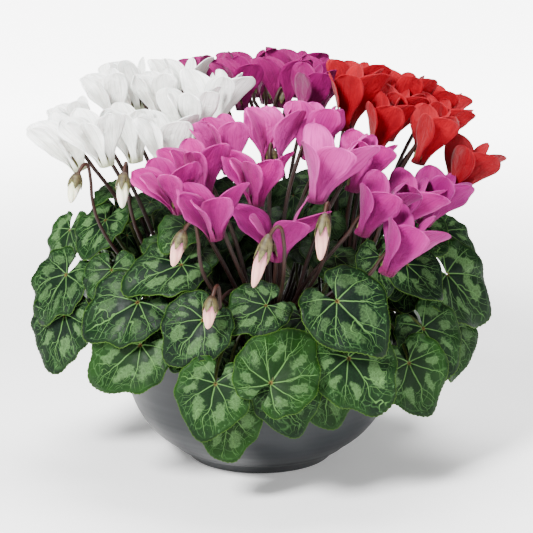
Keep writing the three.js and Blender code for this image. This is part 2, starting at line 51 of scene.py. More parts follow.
FOOT_R, LEDGE_R, LEDGE_Z, RIM_R, RIM_Z = 58, 71, 11, 120, 104
WALL = 3
SOIL_Z = 88
CORM_R, CORM_HALF_HEIGHT = 22, 13
CROWN_R, CROWN_DEPTH = 13.5, 4
CROWN_TOP = SOIL_Z + CORM_HALF_HEIGHT + 1.5
STALK_SPREAD, MOST_SPREAD = 0.2, 11
LIGHT_TURN_DEG = 42
PETIOLE_SHARE = 0.28
PETAL_LENGTH, PETAL_HALF_WIDTH, PETAL_BASE_HALF_WIDTH = 44, 13.2, 2.4
PETAL_AZIMUTHS = (88, 140, 192, 244, 296)
PETAL_TWIST, TWISTED_BY, PETAL_VARIETY, WIDEST_SHARE, PETAL_SLIMNESS = 0.8, 0.3, 3, 0.7, 3
MOUTH_R = 5.5
MOST_LEAN, LEAN_PER_MM = 0.36, 0.0042
STALK_R = 1.6

# Each bloom: the mouth's place, the size, how far the petals flare, and the route that its stalk takes.
# Each bud: the neck's place, the length, the azimuth that it hangs towards, and its stalk's route.
PLANTS = {
    "white": {
        "corm": (-52, 6),
        "blooms": (
            (-140, -14, 236, 1.05, 7, 10), (-116, -52, 247, 1, 6, 0), (-136, 22, 246, 0.95, 5, 2),
            (-96, -22, 244, 1, 1, 9), (-70, -41, 242, 1, 1, 0), (-110, 10, 270, 0.95, 4, 13),
            (-98, 46, 272, 1, 5, 0), (-75, 15, 268, 0.95, 2, 0), (-54, -18, 258, 1, 5, 0),
            (-38, 14, 264, 1.05, 6, 0), (-62, 50, 272, 1, 4, 0),
        ),
        "buds": ((-140, -38, 238, 24, -60, 12), (-103, -58, 242, 27, -10, 0)),
    },
    "purple": {
        "corm": (4, 56),
        "blooms": (
            (-14, 56, 272, 0.95, 4, 4), (18, 79, 270, 0.95, 5, 0), (34, 44, 266, 1, 5, 0),
            (-36, 92, 272, 0.95, 5, 0), (-7, 117, 272, 0.95, 4, 32), (28, 118, 272, 0.95, 6, 0),
            (48, 89, 268, 0.95, 2, 0), (6, 148, 262, 0.95, 7, 1),
        ),
        "buds": (),
    },
    "red": {
        "corm": (58, 18),
        "blooms": (
            (67, 6, 264, 1.12, 6, 0), (76, 53, 268, 1, 2, 0), (110, 44, 263, 0.95, 4, 0),
            (89, -15, 250, 1, 1, 0), (101, 16, 254, 0.95, 1, 0), (123, -18, 242, 1, 3, 0),
            (132, 18, 247, 0.95, 3, 3), (134, 56, 252, 0.95, 5, 4), (149, -17, 216, 1.05, 6, 11),
        ),
        "buds": (),
    },
    "pink": {
        "corm": (8, -48),
        "blooms": (
            (-41, -78, 227, 1, 6, 0), (-58, -106, 222, 0.95, 6, 0), (-31, -131, 208, 0.95, 3, 0),
            (-22, -50, 240, 1, 5, 0), (9, -27, 242, 1, 2, 0), (38, -26, 246, 1, 1, 0),
            (42, -76, 224, 1.25, 13, 0), (-2, -91, 224, 0.95, 6, 0), (13, -121, 190, 1.05, 10, 0),
            (70, -52, 227, 1, 3, 0), (76, -96, 203, 1.05, 5, 3), (101, -66, 200, 1, 5, 9),
            (126, -40, 198, 1, 2, 0), (93, -122, 180, 1.1, 4, 0),
        ),
        "buds": (
            (-55, -132, 214, 28, -90, 0), (7, -160, 217, 40, -90, 10), (47, -138, 228, 34, -20, 2),
            (-34, -144, 168, 24, -30, 69),
        ),
    },
}

# Each plant's leaves at the front and the sides: azimuth, out, up, size, face and turn.
NEAR_LEAVES = {
    "pink": (
        (-13, 156, 92, 44, 16, -14), (-10, 143, 68, 42, 4, 0), (6, 152, 116, 50, 30, 145),
        (8, 147, 88, 40, 6, 12), (28, 157, 108, 50, 20, 34), (26, 152, 152, 52, 36, 40),
        (21, 138, 90, 42, 6, 6), (-20, 142, 138, 42, 28, -36), (-27, 112, 140, 36, 50, -10),
        (-2, 120, 150, 38, 50, -60), (17, 120, 134, 38, 46, 10), (-38, 100, 200, 28, 52, -30),
        (42, 94, 176, 27, 70, 30), (-37, 118, 175, 48, 60, -62),
    ),
    "white": (
        (-45, 146, 146, 50, 40, -56), (-41, 152, 114, 50, 24, -50), (-76, 162, 112, 48, 18, -10),
        (-80, 162, 144, 46, 32, -20), (-94, 156, 172, 38, 30, 10), (-82, 128, 188, 38, 50, 0),
        (-97, 122, 212, 24, 66, 0), (-84, 94, 205, 30, 68, -20), (-51, 94, 184, 29, 72, 20),
        (-58, 134, 160, 36, 36, 10),
    ),
    "red": (
        (52, 150, 90, 46, 12, 20), (62, 150, 112, 46, 24, 26), (76, 156, 100, 42, 12, 6),
        (78, 160, 146, 54, 28, 36), (94, 154, 170, 44, 44, -10), (57, 142, 168, 38, 50, 30),
        (80, 132, 189, 36, 60, 0), (101, 128, 206, 32, 54, -16),
    ),
}
# Each tier at the back: out, up, size, face and its azimuths.
FAR_TIERS = (
    (146, 96, 54, 18, (116, 168, 218)),
    (148, 134, 56, 32, (128, 172, 212, 250)),
    (122, 178, 54, 50, (148, 192, 232)),
)


def seeded(seed):
    """The part's own repeatable stream of numbers from 0 to 1."""
    state = seed
    while True:
        state = (state * 16807) % 2147483647
        yield state / 2147483647


def far_leaves():
    """The leaves at the back, in tiers, each a little out of its place."""
    stream = seeded(20417)

    def jitter():
        return (next(stream) * 2 - 1) * 4

    rows = []
    for out, up, size, face, azimuths in FAR_TIERS:
        for azimuth in azimuths:
            plant = "white" if azimuth > 228 else "red" if azimuth < 125 else "purple"
            rows.append((plant, azimuth + jitter(), out, up + jitter() / 2, size, face + jitter(), jitter() * 4))
    return rows


ALL_LEAVES = [(plant, *leaf) for plant, leaves in NEAR_LEAVES.items() for leaf in leaves] + far_leaves()

# The young leaves: how many the rule places, how far apart, how far out, how high and from which number.
YOUNG_COUNT, YOUNG_SPACING, YOUNG_REACH, YOUNG_TOP, YOUNG_FIRST = 84, 19, 124, 204, 100
# Two more stand where the stalks at the right leave a gap.
GAP_LEAVES = [("red", 50, 120, 172, 32, 20, 0), ("red", 70, 105, 156, 32, 60, 0)]

# ---- Meshes ----


def clamp(value, low=0, high=1):
    return max(low, min(high, value))


def turn(sides):
    """The angles once round, in that many steps."""
    return [2 * pi * k / sides for k in range(sides)]


def steps(count):
    """The shares from 0 to 1 at the ends of that many equal steps."""
    return [i / count for i in range(count + 1)]


def around(radius, angle, z, x=0, y=0):
    """A point on a level circle round (x, y)."""
    return Vector((x + radius * cos(angle), y + radius * sin(angle), z))


def new_object(name, data):
    made = bpy.data.objects.new(name, data)
    bpy.context.scene.collection.objects.link(made)
    return made


class Sheet:
    """Vertices, faces and the values that materials read, gathered for one object."""

    def __init__(self):
        self.points, self.faces, self.slots = [], [], []
        self.uv, self.rim, self.tint = [], [], []

    def point(self, place, uv=(0.0, 0.0), rim=0.0, tint=0.5):
        self.points.append(place * MM)
        self.uv.append(uv)
        self.rim.append(rim)
        self.tint.append(tint)
        return len(self.points) - 1

    def face(self, corners, slot):
        self.faces.append(tuple(corners))
        self.slots.append(slot)

    def object(self, name, materials):
        mesh = bpy.data.meshes.new(name)
        mesh.from_pydata([tuple(p) for p in self.points], [], self.faces)
        for material in materials:
            mesh.materials.append(material)
        mesh.polygons.foreach_set("material_index", self.slots)
        mesh.polygons.foreach_set("use_smooth", [True] * len(self.faces))
        for label, values in (("rim", self.rim), ("tint", self.tint)):
            mesh.attributes.new(label, "FLOAT", "POINT").data.foreach_set("value", values)
        corners = [value for loop in mesh.loops for value in self.uv[loop.vertex_index]]
        mesh.uv_layers.new(name="UVMap").data.foreach_set("uv", corners)
        mesh.update()
        return new_object(name, mesh)


def grid_normals(rows):
    """The normal at each point of a grid, from its neighbours along and across."""
    normals = []
    for i, row in enumerate(rows):
        line = []
        for j in range(len(row)):
            along = rows[min(i + 1, len(rows) - 1)][j] - rows[max(i - 1, 0)][j]
            across = row[min(j + 1, len(row) - 1)] - row[max(j - 1, 0)]
            normal = across.cross(along)
            line.append(normal.normalized() if normal.length > 1e-9 else Vector((0, 0, 0)))
        normals.append(line)
    return normals


def thin_blade(sheet, rows, thickness, shares, tint, slots, flat=None):
    """A closed blade from a grid of points. shares say how far out the rows are, slots are the upper and the
    lower face, and flat holds the points' UV places where they aren't the grid's own."""
    normals = grid_normals(rows)
    last_i, last_j = len(rows) - 1, len(rows[0]) - 1
    for i, line in enumerate(normals):
        for j, normal in enumerate(line):
            if normal.length < 0.5:
                line[j] = normals[min(i + 1, last_i)][j]

    def point(i, j, lift):
        uv = flat[i][j] if flat else (j / last_j, shares[i])
        return sheet.point(rows[i][j] + normals[i][j] * lift, uv, shares[i], tint)

    top, under = (
        [[point(i, j, lift) for j in range(last_j + 1)] for i in range(last_i + 1)]
        for lift in (thickness / 2, -thickness / 2)
    )
    for i in range(last_i):
        for j in range(last_j):
            sheet.face((top[i][j], top[i][j + 1], top[i + 1][j + 1], top[i + 1][j]), slots[0])
            sheet.face((under[i][j], under[i + 1][j], under[i + 1][j + 1], under[i][j + 1]), slots[1])
        sheet.face((top[i][0], top[i + 1][0], under[i + 1][0], under[i][0]), slots[0])
        sheet.face((top[i][last_j], under[i][last_j], under[i + 1][last_j], top[i + 1][last_j]), slots[0])
    for j in range(last_j):
        sheet.face((top[last_i][j], top[last_i][j + 1], under[last_i][j + 1], under[last_i][j]), slots[0])
        sheet.face((top[0][j], under[0][j], under[0][j + 1], top[0][j + 1]), slots[0])


def skin(sheet, rings, slot):
    """Faces from each ring to the next, and over both ends. A ring of one point is a tip."""
    sides = max(len(ring) for ring in rings)
    for a, b in zip(rings, rings[1:]):
        for k in range(sides):
            n = (k + 1) % sides
            if len(a) == 1:
                sheet.face((a[0], b[n], b[k]), slot)
            elif len(b) == 1:
                sheet.face((a[k], a[n], b[0]), slot)
            else:
                sheet.face((a[k], a[n], b[n], b[k]), slot)
    if len(rings[0]) > 1:
        sheet.face(reversed(rings[0]), slot)
    if len(rings[-1]) > 1:
        sheet.face(rings[-1], slot)


def tube(sheet, points, radii, sides, slot, tint, ridge=None):
    """A round closed tube through points. ridge(share, angle) scales the radius."""
    side = Vector((1, 0, 0))
    rings = []
    count = len(points) - 1
    for i, p in enumerate(points):
        along = (points[min(i + 1, count)] - points[max(i - 1, 0)]).normalized()
        side = (side - along * side.dot(along)).normalized()
        across = along.cross(side)
        ring = []
        for k, angle in enumerate(turn(sides)):
            radius = radii[i] * (ridge(i / count, angle) if ridge else 1)
            arm = side * cos(angle) + across * sin(angle)
            ring.append(sheet.point(p + arm * radius, (k / sides, i / count), i / count, tint))
        rings.append(ring)
    skin(sheet, rings, slot)


def bezier(p0, p1, p2, p3, count):
    """A cubic curve from p0 to p3, as that many steps."""
    places = []
    for t in steps(count):
        u = 1 - t
        places.append(p0 * u**3 + p1 * (3 * u * u * t) + p2 * (3 * u * t * t) + p3 * t**3)
    return places


def smooth_through(points, each):
    """A Catmull-Rom curve through points, with that many steps between two of them."""
    places = []
    padded = [points[0], *points, points[-1]]
    for a, b, c, d in zip(padded, padded[1:], padded[2:], padded[3:]):
        for t in steps(each)[:-1]:
            bent = (a * 2 - b * 5 + c * 4 - d) * t * t + (b * 3 - a - c * 3 + d) * t**3
            places.append((b * 2 + (c - a) * t + bent) * 0.5)
    places.append(points[-1])
    return places


def revolve(sheet, profile, sides, bumps=None):
    """A closed turned form from [radius, height] pairs that begin and end on the axis."""
    rings = []
    for r, z in profile:
        if r < 1e-6:
            rings.append([sheet.point(Vector((0, 0, z)))])
            continue
        ring = []
        for k, angle in enumerate(turn(sides)):
            x, y = r * cos(angle), r * sin(angle)
            lift = bumps(x, y, z) if bumps else 0
            ring.append(sheet.point(Vector((x, y, z + lift)), (k / sides, z / 110)))
        rings.append(ring)
    skin(sheet, rings, 0)


# ---- Leaves ----


# Points round and rings out on a blade, for a grown leaf and for a young one.
LEAF_GRID, YOUNG_GRID = (176, 9), (96, 6)
LEAF_TEETH = 58
LEAF_THICKNESS, PETAL_THICKNESS, SEPAL_THICKNESS = 0.55, 0.5, 0.45
PETIOLE_STEPS, STALK_SIDES = 16, 8
CORM_SIDES, CORM_RINGS = 28, 12
# The slots of a foliage piece's materials, and of a stalk piece's.
UPPER, UNDER, PETIOLE, CORM = 0, 1, 2, 3
STALK, CALYX = 0, 1


def leaf_reach(angle):
    """How far the rim lies from the petiole at an angle from the tip, as a share of the leaf's size."""
    point = 0.18 * max(0, cos(angle)) ** 9
    return 0.64 + 0.16 * cos(angle) + 0.02 * cos(2 * angle) + point


def leaf_height(across, along, size, phase):
    """The height of the blade above its own plane: it arches down to its rim, folds at the midrib and waves."""
    reach = hypot(across, along) / size
    angle = atan2(across, along)
    arch = -0.15 * size * reach * reach
    fold = 0.09 * abs(across) * (1 - 0.4 * reach)
    wave = 0.045 * size * reach * reach * sin(5 * angle + phase)
    return arch + fold + wave


def leaf_frame(leaf):
    """Where the petiole meets the blade, and the blade's directions. Leaves turn their faces to the light."""
    _, azimuth, out, up, size, face, twist = leaf
    a, f, t = radians(azimuth), radians(face), radians(twist)
    outward = Vector((sin(a), -cos(a), 0))
    look = a - radians(LIGHT_TURN_DEG) * sin(a)
    look_out = Vector((sin(look), -cos(look), 0))
    facing = look_out * cos(f) + UP * sin(f)
    downhill = look_out * sin(f) - UP * cos(f)
    sideways = facing.cross(downhill)
    along = downhill * cos(t) + sideways * sin(t)
    across = along.cross(facing)
    petiole = outward * out + UP * up - along * (PETIOLE_SHARE * size)
    return petiole, across, along, facing, outward


def leaf_tint(petiole, index):
    """How light the green is, from 0 to 1: each leaf's own tone, with painted light making the low leaves at the
    front lightest and painted shade making those at the right deeper.
    """
    own = Random(index * 31 + 7).random()
    # Painted light on the low leaves at the front, and painted shade on the leaves at the right.
    low = clamp((150 - petiole.z) / 60) * clamp(-petiole.y / 120)
    shaded = clamp((petiole.x - 85) / 60)
    return clamp(0.15 + 0.4 * own + 0.38 * low - 0.12 * shaded, 0.02, 0.98)


def rim_point(angle, share, size, phase):
    """A point of the flattened blade, at a share of the way out to its scalloped and toothed rim."""
    lobe = max(0, abs(angle) - radians(138)) / radians(30)
    shoulder = exp(-(((abs(angle) - 0.5) / 0.3) ** 2))
    reach = leaf_reach(angle) * (1 - 0.34 * lobe * lobe - 0.075 * shoulder)
    scallop = 0.02 * cos(angle * 11.3 + phase)
    tooth = abs((angle / pi * LEAF_TEETH + 0.3 * phase) % 1 - 0.5) * 2
    reach *= 1 + share**4 * (scallop + 0.022 * (tooth - 0.5))
    reach *= share * size
    return reach * sin(angle), reach * cos(angle)


def leaf_relief(angle, share, u, v, size, phase):
    """What the living blade adds to the solid's: small waves at the rim, a drooping tip and puffs between veins."""
    ruffle = 0.02 * size * share**3 * sin(8 * angle + 2 * phase)
    ruffle += 0.016 * size * share**4 * sin(13 * angle + phase)
    ruffle += 0.07 * abs(u) - 0.09 * size * max(0, v / size - 0.45) ** 2
    puff = 0.009 * size * share * (1 - cos(angle * 8)) * (1 - share * 0.6)
    return ruffle + puff


def add_leaf(sheet, leaf, index, grid):
    """One blade, with its toothed and softly waved rim, and its petiole."""
    size = leaf[4]
    petiole, across, along, facing, _ = leaf_frame(leaf)
    phase = index * 2.4
    tint = leaf_tint(petiole, index)
    columns, rings = grid
    spacing = [share**0.85 for share in steps(rings)]
    rows, flat = [], []
    for place in spacing:
        share = max(0.02, place)
        limit = radians(152 + 15 * share)
        row, flat_row = [], []
        for j in range(columns + 1):
            angle = limit * (2 * j / columns - 1)
            u, v = rim_point(angle, share, size, phase)
            height = leaf_height(u, v, size, phase) + leaf_relief(angle, share, u, v, size, phase)
            row.append(petiole + across * u + along * v + facing * height)
            flat_row.append((0.5 + 0.4 * u / size, 0.5 + 0.4 * v / size))
        rows.append(row)
        flat.append(flat_row)
    thin_blade(sheet, rows, LEAF_THICKNESS, spacing, tint, (UPPER, UNDER), flat)
    add_petiole(sheet, leaf, tint)


def add_petiole(sheet, leaf, tint):
    """The leaf's stalk, from the corm's shoulder up and over into the blade."""
    petiole, _, along, facing, outward = leaf_frame(leaf)
    x, y = PLANTS[leaf[0]]["corm"]
    corm = Vector((x, y, SOIL_Z))
    away = petiole - corm
    away.z = 0
    away.normalize()
    root = corm + away * (CORM_R * 0.72) + UP * (CORM_HALF_HEIGHT * 0.45)
    end = petiole + along * 3 - facing * 0.4
    lift = max(0, 150 - petiole.z)
    rise = root + UP * (26 + 0.3 * lift) + away * 14
    arrive = end - facing * 20 - outward * 6 + UP * lift
    radii = [2.2 - 0.7 * min(1, 4 * share) - 0.3 * share for share in steps(PETIOLE_STEPS)]
    tube(sheet, bezier(root, rise, arrive, end, PETIOLE_STEPS), radii, STALK_SIDES, PETIOLE, tint)


def add_corm(sheet, plant):
    """The half-buried tuber, as a flattened ball with a corky uneven skin."""
    x, y = PLANTS[plant]["corm"]
    rings = []
    for i in range(1, CORM_RINGS):
        polar = pi * i / CORM_RINGS
        ring = []
        for angle in turn(CORM_SIDES):
            rough = 1 + 0.03 * sin(3 * angle + i) + 0.02 * sin(7 * angle - 2 * i)
            r = CORM_R * sin(polar) * rough
            ring.append(sheet.point(around(r, angle, SOIL_Z + CORM_HALF_HEIGHT * cos(polar), x, y)))
        rings.append(ring)
    skin(sheet, rings[::-1], CORM)


# ---- Blooms, stalks and buds ----


PETAL_ROWS, PETAL_COLUMNS = 18, 10
# The rows close up towards the tip, and the last one stops just short of a point.
PETAL_SHARES = [(1 - (1 - share) ** 1.5) * 0.997 for share in steps(PETAL_ROWS)]
# The corolla's tube as [radius, height] pairs, inside from its closed end to its mouth, then back outside.
TUBE_SIDES = 20
TUBE_WALL = (
    (1.4, 6.4), (3.6, 5), (4.6, 2), (5, -0.2),
    (5.6, -0.3), (5.75, 0.3), (5.5, 1.4), (5, 3.2), (4.3, 5.2), (3.3, 6.6), (1.6, 7.2),
)
# The hook at the top of a flower stalk, in the bloom's frame, and where it enters the calyx.
HOOK = ((9.4, -0.8, -3), (6.6, -1, 8.5), (3, -0.6, 16))
HOOK_END = ((0.3, 0, 15.2), (0, 0, 11.5))
STEM_STEPS, HOOK_STEPS, SEPAL_STEPS, BUD_STEPS = 18, 5, 6, 22
CALYX_SIDES, BUD_SIDES, CROWN_SIDES = 15, 25, 24


def petal_half_width(share):
    """Half the petal's width at a share of its length, with a rounded tip."""
    if share <= WIDEST_SHARE:
        rise = sin(pi / 2 * share / WIDEST_SHARE) ** PETAL_SLIMNESS
        return PETAL_BASE_HALF_WIDTH + (PETAL_HALF_WIDTH - PETAL_BASE_HALF_WIDTH) * rise
    past = (share - WIDEST_SHARE) / (1 - WIDEST_SHARE)
    return PETAL_HALF_WIDTH * sqrt(max(0, 1 - past**3))


def petal_point(azimuth, share, side, flare, curl, sway, ruffle):
    """A point of a petal in the bloom's frame. curl rolls its tip out, sway leans it, ruffle waves its sides."""
    radius = MOUTH_R + 6.5 * share + (5 + flare) * share * share + curl * share**6
    height = PETAL_LENGTH * share - 0.3 * flare * share * share
    twist = PETAL_TWIST * min(1, share / TWISTED_BY)
    outward = Vector((cos(azimuth), sin(azimuth), 0))
    tangent = Vector((-sin(azimuth), cos(azimuth), 0))
    across = tangent * cos(twist) + outward * sin(twist)
    width = petal_half_width(share) * side
    cup = -0.16 * (sqrt(width * width + 6) - 2.45) * share
    return outward * (radius + cup + ruffle) + across * (width + sway * share * share) + UP * height


def bloom_frame(plant, bloom):
    """The bloom's own frame: its origin is the mouth, and its third direction runs up the petals."""
    x, y, z, size = bloom[:4]
    corm = PLANTS[plant]["corm"]
    away = Vector((x - corm[0], 0.6 * (y - corm[1]), 0))
    lean = min(MOST_LEAN, away.length * LEAN_PER_MM)
    away.normalize()
    along = UP * cos(lean) + away * sin(lean)
    stalk_side = (along * away.dot(along) - away).normalized()
    across = along.cross(stalk_side)
    matrix = Matrix((stalk_side * size, across * size, along * size)).transposed().to_4x4()
    matrix.translation = Vector((x, y, z))
    return matrix


def add_petal(sheet, matrix, azimuth, flare, tint, draw):
    """One petal, turned, curled and ruffled a little differently from the next."""
    azimuth += draw.uniform(-0.12, 0.12)
    curl = draw.uniform(-1.5, 5)
    sway = draw.uniform(-3, 3)
    phase = draw.uniform(0, 6.28)
    own = clamp(tint + draw.uniform(-0.16, 0.16))
    rows = []
    for share in PETAL_SHARES:
        row = []
        slack = min(1.0, petal_half_width(share) / 9)
        for c in range(PETAL_COLUMNS + 1):
            side = 2 * c / PETAL_COLUMNS - 1
            edge = abs(side) ** 2.5
            ruffle = 1.8 * edge * share * sin(8 * share + phase + 2 * side)
            ruffle += 0.8 * edge * share * sin(17 * share + 2.3 * phase)
            ruffle += 0.9 * share * sin(4.4 * side + phase)
            row.append(matrix @ petal_point(azimuth, share, side, flare, curl, sway, ruffle * slack))
        rows.append(row)
    thin_blade(sheet, rows, PETAL_THICKNESS, PETAL_SHARES, own, (0, 0))


def add_bloom(sheet, plant, bloom, index):
    """The corolla: a short closed tube whose five petals turn sharply back at its mouth."""
    matrix = bloom_frame(plant, bloom)
    draw = Random(index * 53 + len(plant))
    # Painted light and shade: blooms are paler the higher they stand, and the large one at the front is the palest;
    # a random share gives each its own tone.
    tint = clamp((bloom[2] - 205) / 40) * 0.7 + draw.uniform(0.0, 0.25)
    if bloom[3] > 1.2:
        tint = 0.95
    for i, degrees in enumerate(PETAL_AZIMUTHS):
        flare = bloom[4] + PETAL_VARIETY * sin(7 * i + bloom[0])
        add_petal(sheet, matrix, radians(degrees), flare, tint, draw)
    rings = []
    for radius, height in TUBE_WALL:
        places = [matrix @ around(radius, angle, height) for angle in turn(TUBE_SIDES)]
        rings.append([sheet.point(place, (0.5, 0.0), 0.0, tint) for place in places])
    skin(sheet, rings, 0)


def route(index):
    """The part's list of routes: straight first, then aside and higher."""
    options = [
        (lift, around(reach, radians(degrees), 0))
        for lift in (0, 24, 48)
        for reach in (0, 9, 18, 30, 42)
        for degrees in (0, 90, 180, 270, 45, 135, 225, 315)[: 8 if reach else 1]
    ]
    return options[index]


def stem_points(plant, end, along, index):
    """A flower stalk's middle line, from the crown along its route to the point where its hook begins."""
    lift, aside = route(index)
    x, y = PLANTS[plant]["corm"]
    away = Vector((end.x - x, end.y - y, 0))
    reach = away.length
    away.normalize()
    root = Vector((x, y, CROWN_TOP - 1.5)) + away * min(MOST_SPREAD, reach * STALK_SPREAD)
    rise = root + UP * (50 + lift) + away * (reach * 0.25) + aside
    below = end + along * (0.75 * lift - 50) + aside
    return bezier(root, rise, below, end, STEM_STEPS)


def bloom_stem(plant, bloom):
    """A bloom's hook, and its stalk up to the hook."""
    matrix = bloom_frame(plant, bloom)
    hook = [matrix @ Vector(p) for p in HOOK]
    return hook, stem_points(plant, hook[0], (hook[1] - hook[0]).normalized(), bloom[5])


def bud_stem(plant, bud):
    """The way back from a bud's tip, and its stalk up to its hook."""
    x, y, z, _, heading, way = bud
    a = radians(heading)
    back = Vector((-sin(a), cos(a), 0))
    return back, stem_points(plant, Vector((x, y, z)) + back * 11 - UP * 10, UP, way)


def add_sepals(sheet, place, radius, length, tint):
    """Five pointed sepals. place(r, angle, z) puts a point, with z running from the stalk to the tips."""
    shares = steps(SEPAL_STEPS)
    for angle in turn(5):
        middle = angle + pi / 5
        rows = []
        for share in shares:
            r = radius * (0.42 + 0.62 * sin(pi / 2 * min(1, share * 1.5))) + 0.5 * share
            half = 0.66 * (1 - max(0, share - 0.35) / 0.65) ** 0.8 + 0.02
            rows.append([place(r, middle + half * (2 * side - 1), share * length) for side in shares])
        thin_blade(sheet, rows, SEPAL_THICKNESS, shares, tint, (CALYX, CALYX))


def add_bloom_stalk(sheet, plant, bloom, index):
    """A flower stalk, its hook and its calyx."""
    matrix = bloom_frame(plant, bloom)
    hook, stem = bloom_stem(plant, bloom)
    curve = stem[:-1] + smooth_through(hook + [matrix @ Vector(p) for p in HOOK_END], HOOK_STEPS)
    count = len(curve) - 1
    radii = [STALK_R * (1.1 - 0.2 * i / count) for i in range(count + 1)]
    tint = Random(index).random()
    tube(sheet, curve, radii, STALK_SIDES, STALK, tint)

    def place(r, angle, z):
        return matrix @ around(r, angle, 12.8 - z)

    cup = [matrix @ Vector((0, 0, z)) for z in (13.6, 12.6, 11, 9, 7.9)]
    tube(sheet, cup, (1.5, 2.2, 3.1, 3.9, 4.1), CALYX_SIDES, CALYX, tint)
    add_sepals(sheet, place, 4.3, 9.2, tint)


def add_bud(sheet, petals, plant, bud, index):
    """A closed bud: its stalk and calyx go to sheet, and its petals, rolled in a spiral, go to petals."""
    x, y, z, length, heading, _ = bud
    a = radians(heading)
    point = Vector((sin(a) * 0.3, -cos(a) * 0.3, -1)).normalized()
    back, stem = bud_stem(plant, bud)
    neck = Vector((x, y, z))
    hook = [stem[-1], neck + back * 9 + UP * 4, neck - point * 6 + back * 3, neck + point * 2]
    curve = stem[:-1] + smooth_through(hook, HOOK_STEPS)
    tint = Random(index + 90).random()
    tube(sheet, curve, [STALK_R * 0.88] * len(curve), STALK_SIDES, STALK, tint)
    side = (back - point * back.dot(point)).normalized()
    across = point.cross(side)

    def place(r, angle, along):
        return neck + point * along + (side * cos(angle) + across * sin(angle)) * r

    cup = [neck + point * (length * s) for s in (-0.02, 0.05, 0.14, 0.26, 0.34)]
    tube(sheet, cup, (1.5, 3.2, 4.5, 4.8, 4.2), CALYX_SIDES, CALYX, tint)
    add_sepals(sheet, place, 5.0, 0.5 * length, tint)
    shares = steps(BUD_STEPS)
    body = [neck + point * (length * (0.2 + 0.8 * share)) for share in shares]
    radii = [0.25 + 4.5 * sqrt(max(0, 1 - share**2.4)) * (0.86 + 0.14 * sin(pi * share)) for share in shares]

    def ridge(share, angle):
        return 1 + 0.13 * cos(5 * angle + 5.5 * share) * sin(pi * min(1, share + 0.1))

    tube(petals, body, radii, BUD_SIDES, 0, tint, ridge)


def add_crown(sheet, plant):
    """The knob on the corm that the flower stalks grow from."""
    x, y = PLANTS[plant]["corm"]
    rings = []
    for radius, z in ((CROWN_R - 0.4, -CROWN_DEPTH), (CROWN_R, -1.6), (CROWN_R - 1.2, -0.5), (CROWN_R - 4, 0)):
        ring = []
        for k, angle in enumerate(turn(CROWN_SIDES)):
            rough = 0.25 * sin(5 * k) if z > -1 else 0
            ring.append(sheet.point(around(radius, angle, CROWN_TOP + z + rough, x, y), tint=0.2))
        rings.append(ring)
    skin(sheet, rings, STALK)


# ---- Young leaves ----


def stalk_lines():
    """The middle lines of all the flower stalks."""
    lines = []
    for plant, facts in PLANTS.items():
        lines += [bloom_stem(plant, bloom)[1] for bloom in facts["blooms"]]
        lines += [bud_stem(plant, bud)[1] for bud in facts["buds"]]
    return lines


def crossed(leaf, lines):
    """Tells whether a stalk passes through a leaf's blade."""
    petiole, across, along, facing, _ = leaf_frame(leaf)
    for line in lines:
        for p, q in zip(line, line[1:]):
            below, above = (p - petiole).dot(facing), (q - petiole).dot(facing)
            if (below + 5) * (above + 5) > 0 and (below - 1) * (above - 1) > 0:
                continue
            share = below / (below - above) if below != above else 0
            place = p + (q - p) * clamp(share) - petiole
            u, v = place.dot(across), place.dot(along)
            if hypot(u, v) < leaf_reach(atan2(u, v)) * leaf[4] + 2:
                return True
    return False


def young_leaves():
    """The young leaves under the blooms, where the flower stalks leave room for them."""
    draw = Random(11)
    lines = stalk_lines()
    rows = []
    while len(rows) < YOUNG_COUNT:
        azimuth, out = draw.uniform(-180, 180), YOUNG_REACH * sqrt(draw.uniform(0.03, 1))
        x, y = out * sin(radians(azimuth)), -out * cos(radians(azimuth))
        up = YOUNG_TOP + 0.12 * y - 0.0036 * out * out + draw.uniform(-44, 10)
        # Behind the middle they stand higher and face the other way, to the front.
        if y > 0:
            up = YOUNG_TOP - 0.0014 * out * out + draw.uniform(-34, 8)
            azimuth, out = azimuth + 180, -out
        plant = min(PLANTS, key=lambda name: dist(PLANTS[name]["corm"], (x, y)))
        leaf = (plant, azimuth, out, up, draw.uniform(23, 33), draw.uniform(26, 62), draw.uniform(-50, 50))
        apart = min((dist((x, y, up), other[1]) for other in rows), default=99)
        if apart > YOUNG_SPACING and not crossed(leaf, lines):
            rows.append((leaf, (x, y, up)))
    return [leaf for leaf, _ in rows] + GAP_LEAVES


# ---- Materials ----


def linear(colour):
    """An sRGB hex colour as linear RGBA."""
    parts = [int(colour[i : i + 2], 16) / 255 for i in (1, 3, 5)]
    return [c / 12.92 if c <= 0.04045 else ((c + 0.055) / 1.055) ** 2.4 for c in parts] + [1]


def feed(socket, value):
    """Links another node's output to a socket, or gives it a value. A hex string is a colour."""
    if isinstance(value, bpy.types.NodeSocket):
        socket.id_data.links.new(value, socket)
    else:
        socket.default_value = linear(value) if isinstance(value, str) else value


def add(tree, kind, inputs=None, **settings):
    """A shader node with its settings, and its inputs as values or as another node's output."""
    node = tree.nodes.new("ShaderNode" + kind)
    for key, value in settings.items():
        setattr(node, key, value)
    for key, value in (inputs or {}).items():
        feed(node.inputs[key], value)
    return node


def new_material(name, **sockets):
    """A material with its shader's values set. An underscore stands for a space in a socket's name."""
    material = bpy.data.materials.new(name)
    material.use_nodes = True
    tree = material.node_tree
    for key, value in sockets.items():
        tree.nodes["Principled BSDF"].inputs[key.replace("_", " ")].default_value = value
    return material, tree


def finish(material, colour, height, strength, distance, roughness=None):
    """Links the colour, the relief, whose distance is in metres, and any roughness to the shader."""
    sockets = material.node_tree.nodes["Principled BSDF"].inputs
    relief = add(material.node_tree, "Bump", {"Height": height, "Strength": strength, "Distance": distance})
    feed(sockets["Base Color"], colour)
    feed(sockets["Normal"], relief.outputs[0])
    if roughness is not None:
        feed(sockets["Roughness"], roughness)
    return material


def tree_of(*values):
    """The node tree of the first node's output among the values."""
    return next(value.id_data for value in values if isinstance(value, bpy.types.NodeSocket))


